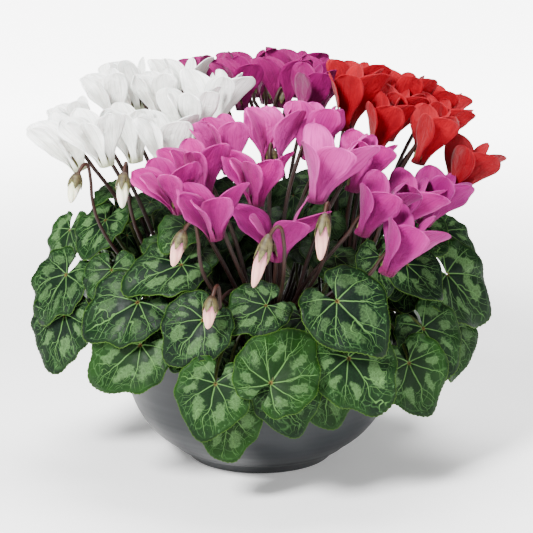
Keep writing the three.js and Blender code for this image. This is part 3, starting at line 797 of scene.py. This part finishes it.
def math_node(operation, a, b=0):
    return add(tree_of(a, b), "Math", {0: a, 1: b}, operation=operation).outputs[0]


def times(a, b):
    return math_node("MULTIPLY", a, b)


def plus(a, b):
    return math_node("ADD", a, b)


def less(a, b):
    return math_node("SUBTRACT", a, b)


def combine(x, y, z=0):
    return add(tree_of(x, y, z), "CombineXYZ", {0: x, 1: y, 2: z}).outputs[0]


def magnitude(place):
    return add(tree_of(place), "VectorMath", {0: place}, operation="LENGTH").outputs["Value"]


def ramp(value, low, high, out_low=0, out_high=1):
    """Smooth step of a value from one range to another."""
    limits = {"From Min": low, "From Max": high, "To Min": out_low, "To Max": out_high}
    return add(tree_of(value), "MapRange", {"Value": value, **limits}, interpolation_type="SMOOTHSTEP").outputs[0]


def mix(factor, a, b):
    """Colour a turned to colour b by the factor. Each colour is a hex string or a node's output."""
    return add(tree_of(factor), "Mix", {0: factor, 6: a, 7: b}, data_type="RGBA", clamp_factor=True).outputs[2]


def noise(place, scale, detail=2, rough=0.5, distortion=0):
    """Soft noise from 0 to 1."""
    settings = {"Scale": scale, "Detail": detail, "Roughness": rough, "Distortion": distortion}
    return add(tree_of(place), "TexNoise", {"Vector": place, **settings}).outputs[0]


def attribute(tree, name):
    return add(tree, "Attribute", attribute_name=name).outputs["Fac"]


def object_place(tree):
    return add(tree, "TexCoord").outputs["Object"]


def blade_place(tree):
    """The two coordinates of the piece's own UV map."""
    place = add(tree, "SeparateXYZ", {0: add(tree, "UVMap", uv_map="UVMap").outputs[0]})
    return place.outputs[0], place.outputs[1]


def stroke(distance, width):
    """One inside a line of that half width, and nothing outside it."""
    return ramp(math_node("DIVIDE", distance, width), 0.45, 1.15, 1, 0)


def leaf_fields(tree):
    """What the leaf's materials share: the place on the blade, its veins and its pale blotches."""
    x, y = (times(less(side, 0.5), 2.5) for side in blade_place(tree))
    tint = attribute(tree, "tint")
    rim = attribute(tree, "rim")
    # Each leaf has its own tint, which also gives it its own pattern.
    own = times(tint, 137)
    shifted = combine(x, y, own)
    reach = magnitude(combine(x, y))
    angle = math_node("ARCTAN2", x, y)
    # Seven main veins fan out from the petiole, bend a little to the tip and wander.
    wander = less(noise(shifted, 2.3, 2), 0.5)
    bend = plus(times(reach, 0.2), 0.93)
    sway = times(wander, times(reach, 1.1))
    turned = plus(times(angle, bend), sway)
    apart = math_node("PINGPONG", turned, pi / 8)
    aside = times(apart, reach)
    midrib = ramp(math_node("ABSOLUTE", turned), 0.3, 0.45, 1.35, 1)
    width = times(ramp(rim, 0, 1, 0.012, 0.005), midrib)
    main = stroke(aside, width)
    # Each main vein forks twice on its way to the rim.
    for start, slope, share in ((0.34, 0.5, 0.62), (0.54, 0.62, 0.5)):
        begin = less(reach, plus(wander, start))
        branch = math_node("ABSOLUTE", less(aside, times(begin, slope)))
        fork = times(stroke(branch, times(width, share)), ramp(begin, 0, 0.03))
        main = math_node("MAXIMUM", main, times(fork, 0.8))
    main = times(main, ramp(rim, 0.84, 0.97, 1, 0))
    # A finer net joins them in the outer half.
    cells = add(
        tree, "TexVoronoi",
        {"Vector": combine(times(turned, 3.6), times(rim, 5.2), own), "Scale": 1, "Randomness": 0.85},
        feature="DISTANCE_TO_EDGE",
    ).outputs["Distance"]
    net = times(ramp(cells, 0.01, 0.06, 1, 0), ramp(rim, 0.42, 0.6))
    net = times(net, ramp(rim, 0.88, 0.97, 1, 0))
    # A pale blotch with a ragged edge lies between each two main veins, past the middle of the blade.
    between = times(less(pi / 8, apart), reach)
    swell = ramp(noise(shifted, 1.9, 1), 0.3, 0.7, 0.05, 0.15)
    lateral = math_node("DIVIDE", between, swell)
    radial = math_node("DIVIDE", less(rim, 0.6), 0.19)
    ragged = less(noise(shifted, 8, 5, 0.7), 0.5)
    oval = plus(magnitude(combine(lateral, radial)), times(ragged, 2.6))
    chance = add(tree, "TexWhiteNoise", {"W": own}, noise_dimensions="1D").outputs["Value"]
    blotch = times(ramp(oval, 0.7, 1.1, 1, 0), ramp(chance, 0, 0.8, 0.35, 1))
    return shifted, tint, rim, main, net, blotch


def painted_inner_shade(colour):
    """The same colour with painted shade, deeper towards the middle of the plants, where the outer leaves shade the
    inner ones.
    """
    tree = tree_of(colour)
    level = add(tree, "VectorMath", {0: object_place(tree), 1: (1, 1, 0)}, operation="MULTIPLY").outputs[0]
    return mix(ramp(magnitude(level), 0.05, 0.13, 0.62, 0), colour, "#010302")


def leaf_top_material():
    """Cyclamen leaf, upper face: a thin waxy cuticle over dark mesophyll gives a soft satin gleam. Air under
    the skin makes the silver-green blotches, and the sunken veins stay pale."""
    material, tree = new_material("leaf_upper", Roughness=0.5, IOR=1.42, Specular_IOR_Level=0.1)
    shifted, tint, rim, main, net, blotch = leaf_fields(tree)
    broad = noise(shifted, 2.6, 3)
    fine = noise(shifted, 46, 3, 0.6)
    # The tint, each leaf's own tone with its painted light and shade, sets how deep the ground green is and how
    # strong the pale zone.
    ground = mix(ramp(tint, 0.1, 0.6), "#030c07", "#071708")
    ground = mix(ramp(tint, 0.5, 0.95), ground, "#102606")
    bright = times(ramp(rim, 0.3, 1), ramp(broad, 0.3, 0.65))
    bright = times(bright, ramp(tint, 0.05, 0.7, 0.15, 0.9))
    ground = mix(bright, ground, "#132f08")
    ground = mix(ramp(fine, 0.35, 0.8, 0, 0.2), ground, "#1a3a1c")
    feather = ramp(noise(shifted, 30, 4, 0.7), 0.3, 0.62, 0.4, 1)
    pale = times(times(blotch, feather), 0.66)
    colour = mix(pale, ground, "#4c6b3f")
    specks = times(ramp(noise(shifted, 19, 2), 0.64, 0.72), ramp(rim, 0.5, 0.75))
    colour = mix(times(specks, 0.45), colour, "#41633a")
    colour = mix(times(net, 0.28), colour, "#3f6434")
    colour = mix(times(main, 0.65), colour, "#50763d")
    colour = mix(ramp(rim, 0, 0.06, 0.8, 0), colour, "#5f3a22")
    colour = mix(ramp(rim, 0.975, 1, 0, 0.6), colour, "#41601c")
    gloss = ramp(noise(shifted, 9, 3), 0.3, 0.7, 0.42, 0.6)
    veins = math_node("MAXIMUM", main, times(net, 0.6))
    height = less(times(fine, 0.25), veins)
    return finish(material, painted_inner_shade(colour), height, 0.6, 0.0007, gloss)


def leaf_under_material():
    """Cyclamen leaf, underside: paler spongy tissue with the veins standing proud and no waxy gleam."""
    material, tree = new_material("leaf_under", Roughness=0.58, IOR=1.4, Specular_IOR_Level=0.25)
    shifted, tint, rim, main, net, _ = leaf_fields(tree)
    ground = mix(ramp(noise(shifted, 3, 3), 0.3, 0.7), "#2c421b", "#1f3316")
    ground = mix(ramp(tint, 0.6, 1, 0, 0.3), ground, "#7a5a50")
    colour = mix(times(main, 0.7), ground, "#6f8550")
    colour = mix(times(net, 0.35), colour, "#5d7540")
    return finish(material, painted_inner_shade(colour), main, 0.5, 0.0008)


def petiole_material():
    """Leaf stalks: fleshy skin, green flushed with brown-red towards the corm, with a damp sheen."""
    material, tree = new_material("petiole", Roughness=0.45, IOR=1.4, Specular_IOR_Level=0.3)
    streak = noise(object_place(tree), 220, 3, 0.6)
    colour = mix(ramp(attribute(tree, "rim"), 0.1, 0.9), "#301812", "#354018")
    colour = mix(ramp(streak, 0.35, 0.7, 0, 0.5), colour, "#1e120b")
    return finish(material, painted_inner_shade(colour), streak, 0.3, 0.0003)


def corm_material():
    """Corm: a dry corky tuber skin, cracked and dusted with compost, so it has no gleam at all."""
    material, tree = new_material("corm_skin", Roughness=0.88)
    cork = noise(object_place(tree), 260, 5, 0.65)
    colour = mix(ramp(cork, 0.3, 0.7), "#2a1c13", "#6a4c33")
    return finish(material, colour, cork, 0.8, 0.001)


def petal_material(name, mouth, middle, tip, edge, shade):
    """Petals: soft living tissue a few cells thick. Tiny domed cells scatter light as a velvet sheen, and
    light that passes through the blade warms its shaded side. Fine veins run from mouth to tip, and the blade
    keeps soft folds from the bud, which the light picks out."""
    material, tree = new_material(
        name, Roughness=0.52, IOR=1.36, Sheen_Weight=0.03, Specular_IOR_Level=0.14, Subsurface_Weight=0.2,
        Subsurface_Scale=0.0015, Subsurface_Radius=(1, 0.7, 0.7),
    )
    u, v = blade_place(tree)
    tint = attribute(tree, "tint")
    across = math_node("ABSOLUTE", less(u, 0.5))
    colour = mix(ramp(v, 0, 0.3), mouth, middle)
    colour = mix(ramp(v, 0.35, 1), colour, tip)
    side = times(ramp(across, 0.2, 0.5), ramp(v, 0.1, 0.5))
    colour = mix(times(side, 0.35), colour, edge)
    # The tint makes a whole bloom paler or deeper as painted light and shade, and each petal a little as its own
    # tone: higher tints mix in the tip and edge colours, lower ones the shade colour.
    colour = mix(ramp(tint, 0.15, 1, 0, 0.6), colour, tip)
    colour = mix(ramp(tint, 0.5, 1, 0, 0.5), colour, edge)
    colour = mix(ramp(tint, 0, 0.5, 0.6, 0), colour, shade)
    colour = mix(ramp(v, 0.02, 0.2, 0.85, 0), colour, mouth)
    # Stretched noise makes the veins, and broad noise the blush and the folds. The tint sets each petal's own.
    own = times(tint, 23)
    veins = noise(combine(times(u, 26), times(v, 2.2), own), 1, 3, 0.6, 0.4)
    colour = mix(ramp(veins, 0.42, 0.7, 0, 0.42), colour, shade)
    broad = combine(u, v, own)
    colour = mix(ramp(noise(broad, 2.4, 2), 0.35, 0.75, 0, 0.35), colour, shade)
    folds = noise(broad, 5, 3, 0.55, 0.6)
    return finish(material, colour, plus(times(veins, 0.3), folds), 0.7, 0.002)


def stalk_material():
    """Flower stalks: smooth fleshy skin coloured brown-red by anthocyanin, paler and greener at the hook."""
    material, tree = new_material("stalk_skin", Roughness=0.45, IOR=1.42, Specular_IOR_Level=0.25)
    streak = noise(object_place(tree), 150, 3, 0.6)
    colour = mix(ramp(attribute(tree, "rim"), 0.2, 1), "#170907", "#331a12")
    colour = mix(ramp(streak, 0.4, 0.7, 0, 0.45), colour, "#140706")
    return finish(material, colour, streak, 0.25, 0.0003)


def calyx_material():
    """Sepals: leathery green skin, veined and stained brown, matte with a faint downy sheen."""
    material, tree = new_material("calyx_skin", Roughness=0.55, Specular_IOR_Level=0.3)
    mottle = noise(object_place(tree), 340, 4, 0.6)
    colour = mix(ramp(attribute(tree, "rim"), 0, 1), "#3c2c1c", "#5c5c30")
    colour = mix(ramp(mottle, 0.4, 0.65, 0, 0.75), colour, "#231611")
    return finish(material, colour, mottle, 0.4, 0.0004)


def bud_material(name, neck, tip, seam):
    """Bud: the five petals rolled tight in a spiral, with a silky gleam along each turn."""
    material, tree = new_material(
        name, Roughness=0.42, IOR=1.38, Sheen_Weight=0.2, Subsurface_Weight=0.2, Subsurface_Scale=0.0015
    )
    u, v = blade_place(tree)
    spiral = plus(times(u, 5), times(v, 0.875))
    turns = ramp(math_node("PINGPONG", spiral, 0.5), 0.3, 0.5)
    colour = mix(ramp(v, 0.1, 0.6), neck, tip)
    colour = mix(times(turns, 0.55), colour, seam)
    silk = noise(combine(times(spiral, 9), v, u), 2, 3, 0.6)
    colour = mix(ramp(silk, 0.4, 0.7, 0, 0.3), colour, seam)
    return finish(material, colour, silk, 0.3, 0.0003)


def pot_material():
    """Bowl: injection-moulded polypropylene in slate grey. The tool's fine spark-eroded grain gives a satin
    surface, with faint turned rings and flow bands round it and a little dust and handling wear."""
    material, tree = new_material("moulded_plastic", Roughness=0.4, IOR=1.49, Specular_IOR_Level=0.28)
    place = object_place(tree)
    grain = noise(place, 1800, 2, 0.5)
    cloud = noise(place, 14, 4, 0.6)
    # What changes with the height alone makes the bands and the rings.
    band = combine(0, 0, add(tree, "SeparateXYZ", {0: place}).outputs[2])
    flow = noise(band, 120, 3, 0.6)
    rings = noise(band, 55, 2, 0.5)
    colour = mix(ramp(cloud, 0.3, 0.7), "#15171a", "#1d2023")
    colour = mix(ramp(flow, 0.4, 0.7, 0, 0.35), colour, "#121417")
    colour = mix(ramp(grain, 0.3, 0.8, 0, 0.15), colour, "#2c2f33")
    gloss = ramp(cloud, 0.3, 0.7, 0.38, 0.5)
    return finish(material, colour, plus(times(grain, 0.02), rings), 0.5, 0.003, gloss)


def soil_material():
    """Potting compost: damp peat and bark crumbs, nearly black where wet and brown where dry."""
    material, tree = new_material("compost", Roughness=0.92)
    place = object_place(tree)
    crumbs = add(tree, "TexVoronoi", {"Vector": place, "Scale": 330}).outputs["Distance"]
    damp = noise(place, 40, 4, 0.6)
    colour = mix(ramp(damp, 0.35, 0.7), "#1b130e", "#3b2a1d")
    colour = mix(ramp(crumbs, 0.2, 0.7, 0, 0.6), colour, "#0f0a08")
    return finish(material, colour, crumbs, 1, 0.003)


# ---- Build ----

# The bowl as [radius, height] pairs, from its foot to its ledge, up its flank and over its rolled rim.
FOOT = (
    (0, 0), (FOOT_R - 9, 0), (FOOT_R - 1, 0), (FOOT_R, 0.3), (FOOT_R + 1, 1.2),
    (FOOT_R + 6.3, LEDGE_Z - 3.4), (FOOT_R + 7.6, LEDGE_Z - 2.5), (LEDGE_R - 3, LEDGE_Z - 1.6),
    (LEDGE_R - 1, LEDGE_Z - 0.9), (LEDGE_R, LEDGE_Z - 0.2), (LEDGE_R + 1.2, LEDGE_Z + 1),
)
FLANK = ((LEDGE_R + 3, LEDGE_Z + 2.5), (88, 25), (100, 42), (108, 64), (112.5, 80), (116, 97))
RIM_FROM_TOP = (
    (-3.6, -5.8), (-2.2, -5.2), (-0.9, -4.4), (-0.2, -3), (-0.1, -1.6), (-0.7, -0.5), (-1.9, 0),
    (-4.5, -0.1), (-6, -0.6), (-6.7, -2.5),
)
GROOVE_DEPTH, GROOVE_Z, GROOVE_WIDTH = 0.45, 67.5, 0.8
BOWL_SIDES, SOIL_SIDES = 128, 96
# The compost's side follows the bowl's inside, and its top rises from the edge to the middle.
SOIL_FLANK = ((0, WALL + 0.4), (FOOT_R - 6, WALL + 0.4), (79, 20), (92, 36), (100, 52), (105.5, 72), (107, 82))
SOIL_R, SOIL_EDGE_Z, SOIL_RISE, SOIL_RISE_OVER = 106, 85.5, 5.5, 60


def build_bowl():
    flank = [(p.x, p.y) for p in smooth_through([Vector((r, z, 0)) for r, z in FLANK], 8)]
    outside = [(r - GROOVE_DEPTH * exp(-(((z - GROOVE_Z) / GROOVE_WIDTH) ** 2)), z) for r, z in flank]
    rim = [(RIM_R + r, RIM_Z + z) for r, z in RIM_FROM_TOP]
    inside = [(r - WALL, z + 0.6) for r, z in reversed(flank) if z > 16]
    sheet = Sheet()
    revolve(sheet, [*FOOT, *outside, *rim, *inside, (FOOT_R - 2, WALL), (0, WALL)], BOWL_SIDES)
    return sheet.object("bowl_shell", [pot_material()])


def build_soil():
    draw = Random(5)
    waves = [(draw.uniform(0.05, 0.35), draw.uniform(0, 6.28), draw.uniform(0, 6.28)) for _ in range(14)]

    def bumps(x, y, z):
        if z < SOIL_Z - 8:
            return 0
        return sum(0.22 * sin(f * x + a) * sin(f * y + b) for f, a, b in waves)

    top = [(SOIL_R - i, SOIL_EDGE_Z + SOIL_RISE * min(1, i / SOIL_RISE_OVER)) for i in range(4, 101, 4)]
    middle_z = SOIL_EDGE_Z + SOIL_RISE
    sheet = Sheet()
    revolve(sheet, [*SOIL_FLANK, (SOIL_R, 85), *top, (2, middle_z), (0, middle_z)], SOIL_SIDES, bumps)
    return sheet.object("compost_bed", [soil_material()])


def dress(piece, slot, *nodes):
    """Puts a piece on the part's body, in place of its CAD nodes. The slot is not used."""
    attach(piece, "root")
    if nodes:
        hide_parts(*nodes)


# Each plant's petals: the colours of the mouth, the middle, the tip, the edge and the shade, which darkens the
# veins and the blush and paints shade on the low blooms.
PETAL_LOOKS = {
    # The white's olive mouth, grey middle and dark shade colour are painted shade, greying each petal towards its
    # base and along its veins over a faint green of its own at the mouth.
    "white": petal_material("petal_white", "#a0a47e", "#ced0c2", "#fbfbf8", "#ffffff", "#7c8074"),
    "purple": petal_material("petal_purple", "#34011a", "#580234", "#6c0246", "#800a5a", "#3c0126"),
    "red": petal_material("petal_red", "#420006", "#74000c", "#840010", "#8e0416", "#4a0008"),
    "pink": petal_material("petal_pink", "#4a0228", "#780452", "#a01272", "#c648a0", "#540340"),
}
# Each plant's buds: the colours of the neck, the tip and the seams.
BUD_LOOKS = {
    "white": bud_material("bud_white", "#bfc494", "#e8e6cf", "#a9b082"),
    "pink": bud_material("bud_pink", "#8a3a62", "#d8a08f", "#b06a72"),
}
LEAF_LOOKS = [leaf_top_material(), leaf_under_material(), petiole_material(), corm_material()]
STALK_LOOKS = [stalk_material(), calyx_material()]
YOUNG_LEAVES = young_leaves()

dress(build_bowl(), "pot", "bowl")
dress(build_soil(), "soil", "soil")
for plant, facts in PLANTS.items():
    sheet = Sheet()
    for leaves, first, grid in ((ALL_LEAVES, 0, LEAF_GRID), (YOUNG_LEAVES, YOUNG_FIRST, YOUNG_GRID)):
        for index, leaf in enumerate(leaves, first):
            if leaf[0] == plant:
                add_leaf(sheet, leaf, index, grid)
    add_corm(sheet, plant)
    dress(sheet.object(f"{plant}_foliage", LEAF_LOOKS), "leaf", f"{plant}_leaves")

    sheet = Sheet()
    for index, bloom in enumerate(facts["blooms"]):
        add_bloom(sheet, plant, bloom, index)
    names = [f"{plant}_bloom_{i + 1}" for i in range(len(facts["blooms"]))]
    dress(sheet.object(f"{plant}_corollas", [PETAL_LOOKS[plant]]), f"{plant}_petal", *names)

    sheet, petals = Sheet(), Sheet()
    for index, bloom in enumerate(facts["blooms"]):
        add_bloom_stalk(sheet, plant, bloom, index)
    for index, bud in enumerate(facts["buds"]):
        add_bud(sheet, petals, plant, bud, index)
    add_crown(sheet, plant)
    dress(sheet.object(f"{plant}_flower_stalks", STALK_LOOKS), "stalk", f"{plant}_stalks")
    if facts["buds"]:
        dress(petals.object(f"{plant}_buds", [BUD_LOOKS[plant]]), f"{plant}_petal")

# ---- Stage, light and camera ----

# The far floor glows faintly, so that the background is nearly white right up to the horizon.
REACH = 30
floor_mesh = bpy.data.meshes.new("floor")
corners = [(-REACH, -REACH, 0), (REACH, -REACH, 0), (REACH, REACH, 0), (-REACH, REACH, 0)]
floor_mesh.from_pydata(corners, [], [(0, 1, 2, 3)])
floor = new_object("floor", floor_mesh)
floor_look, floor_tree = new_material(
    "white_floor", Roughness=0.35, Base_Color=linear("#fafafa"), Emission_Color=linear("#ffffff")
)
glow = ramp(magnitude(object_place(floor_tree)), 0.35, 1.8, 0.25, 7.0)
feed(floor_tree.nodes["Principled BSDF"].inputs["Emission Strength"], glow)
floor_mesh.materials.append(floor_look)


def area_light(name, place, aim, size, power):
    """A round soft lamp that points at a place. Sizes are metres and the power is watts."""
    light = bpy.data.lights.new(name, "AREA")
    light.shape = "DISK"
    light.size = size
    light.energy = power
    lamp = new_object(name, light)
    lamp.location = place
    lamp.rotation_euler = (Vector(aim) - Vector(place)).to_track_quat("-Z", "Y").to_euler()


area_light("key", (-1.0, -1.5, 1.7), (0, 0, 0.15), 0.6, 190)
area_light("fill", (1.6, -1.3, 0.9), (0, 0, 0.15), 1.2, 18)
area_light("top", (0.1, 0.3, 2.0), (0, 0, 0.2), 1.0, 90)

world = bpy.data.worlds.new("studio")
world.use_nodes = True
sky = world.node_tree.nodes["Background"]
sky.inputs["Color"].default_value = linear("#ffffff")
sky.inputs["Strength"].default_value = 0.22
bpy.context.scene.world = world

# The photograph's view: how far above the level it looks from, and how wide a field it shows at the target.
ELEVATION = radians(14)
DISTANCE = 1.5
TARGET = Vector((0.0052, 0, 0.1543))
FIELD_WIDTH = 0.4264
SENSOR_WIDTH = 36
camera = new_object("camera", bpy.data.cameras.new("camera"))
view = Vector((0, -cos(ELEVATION), sin(ELEVATION)))
camera.location = TARGET + view * DISTANCE
camera.rotation_euler = (-view).to_track_quat("-Z", "Y").to_euler()
camera.data.sensor_width = SENSOR_WIDTH
camera.data.lens = SENSOR_WIDTH / (FIELD_WIDTH / DISTANCE)
bpy.context.scene.camera = camera
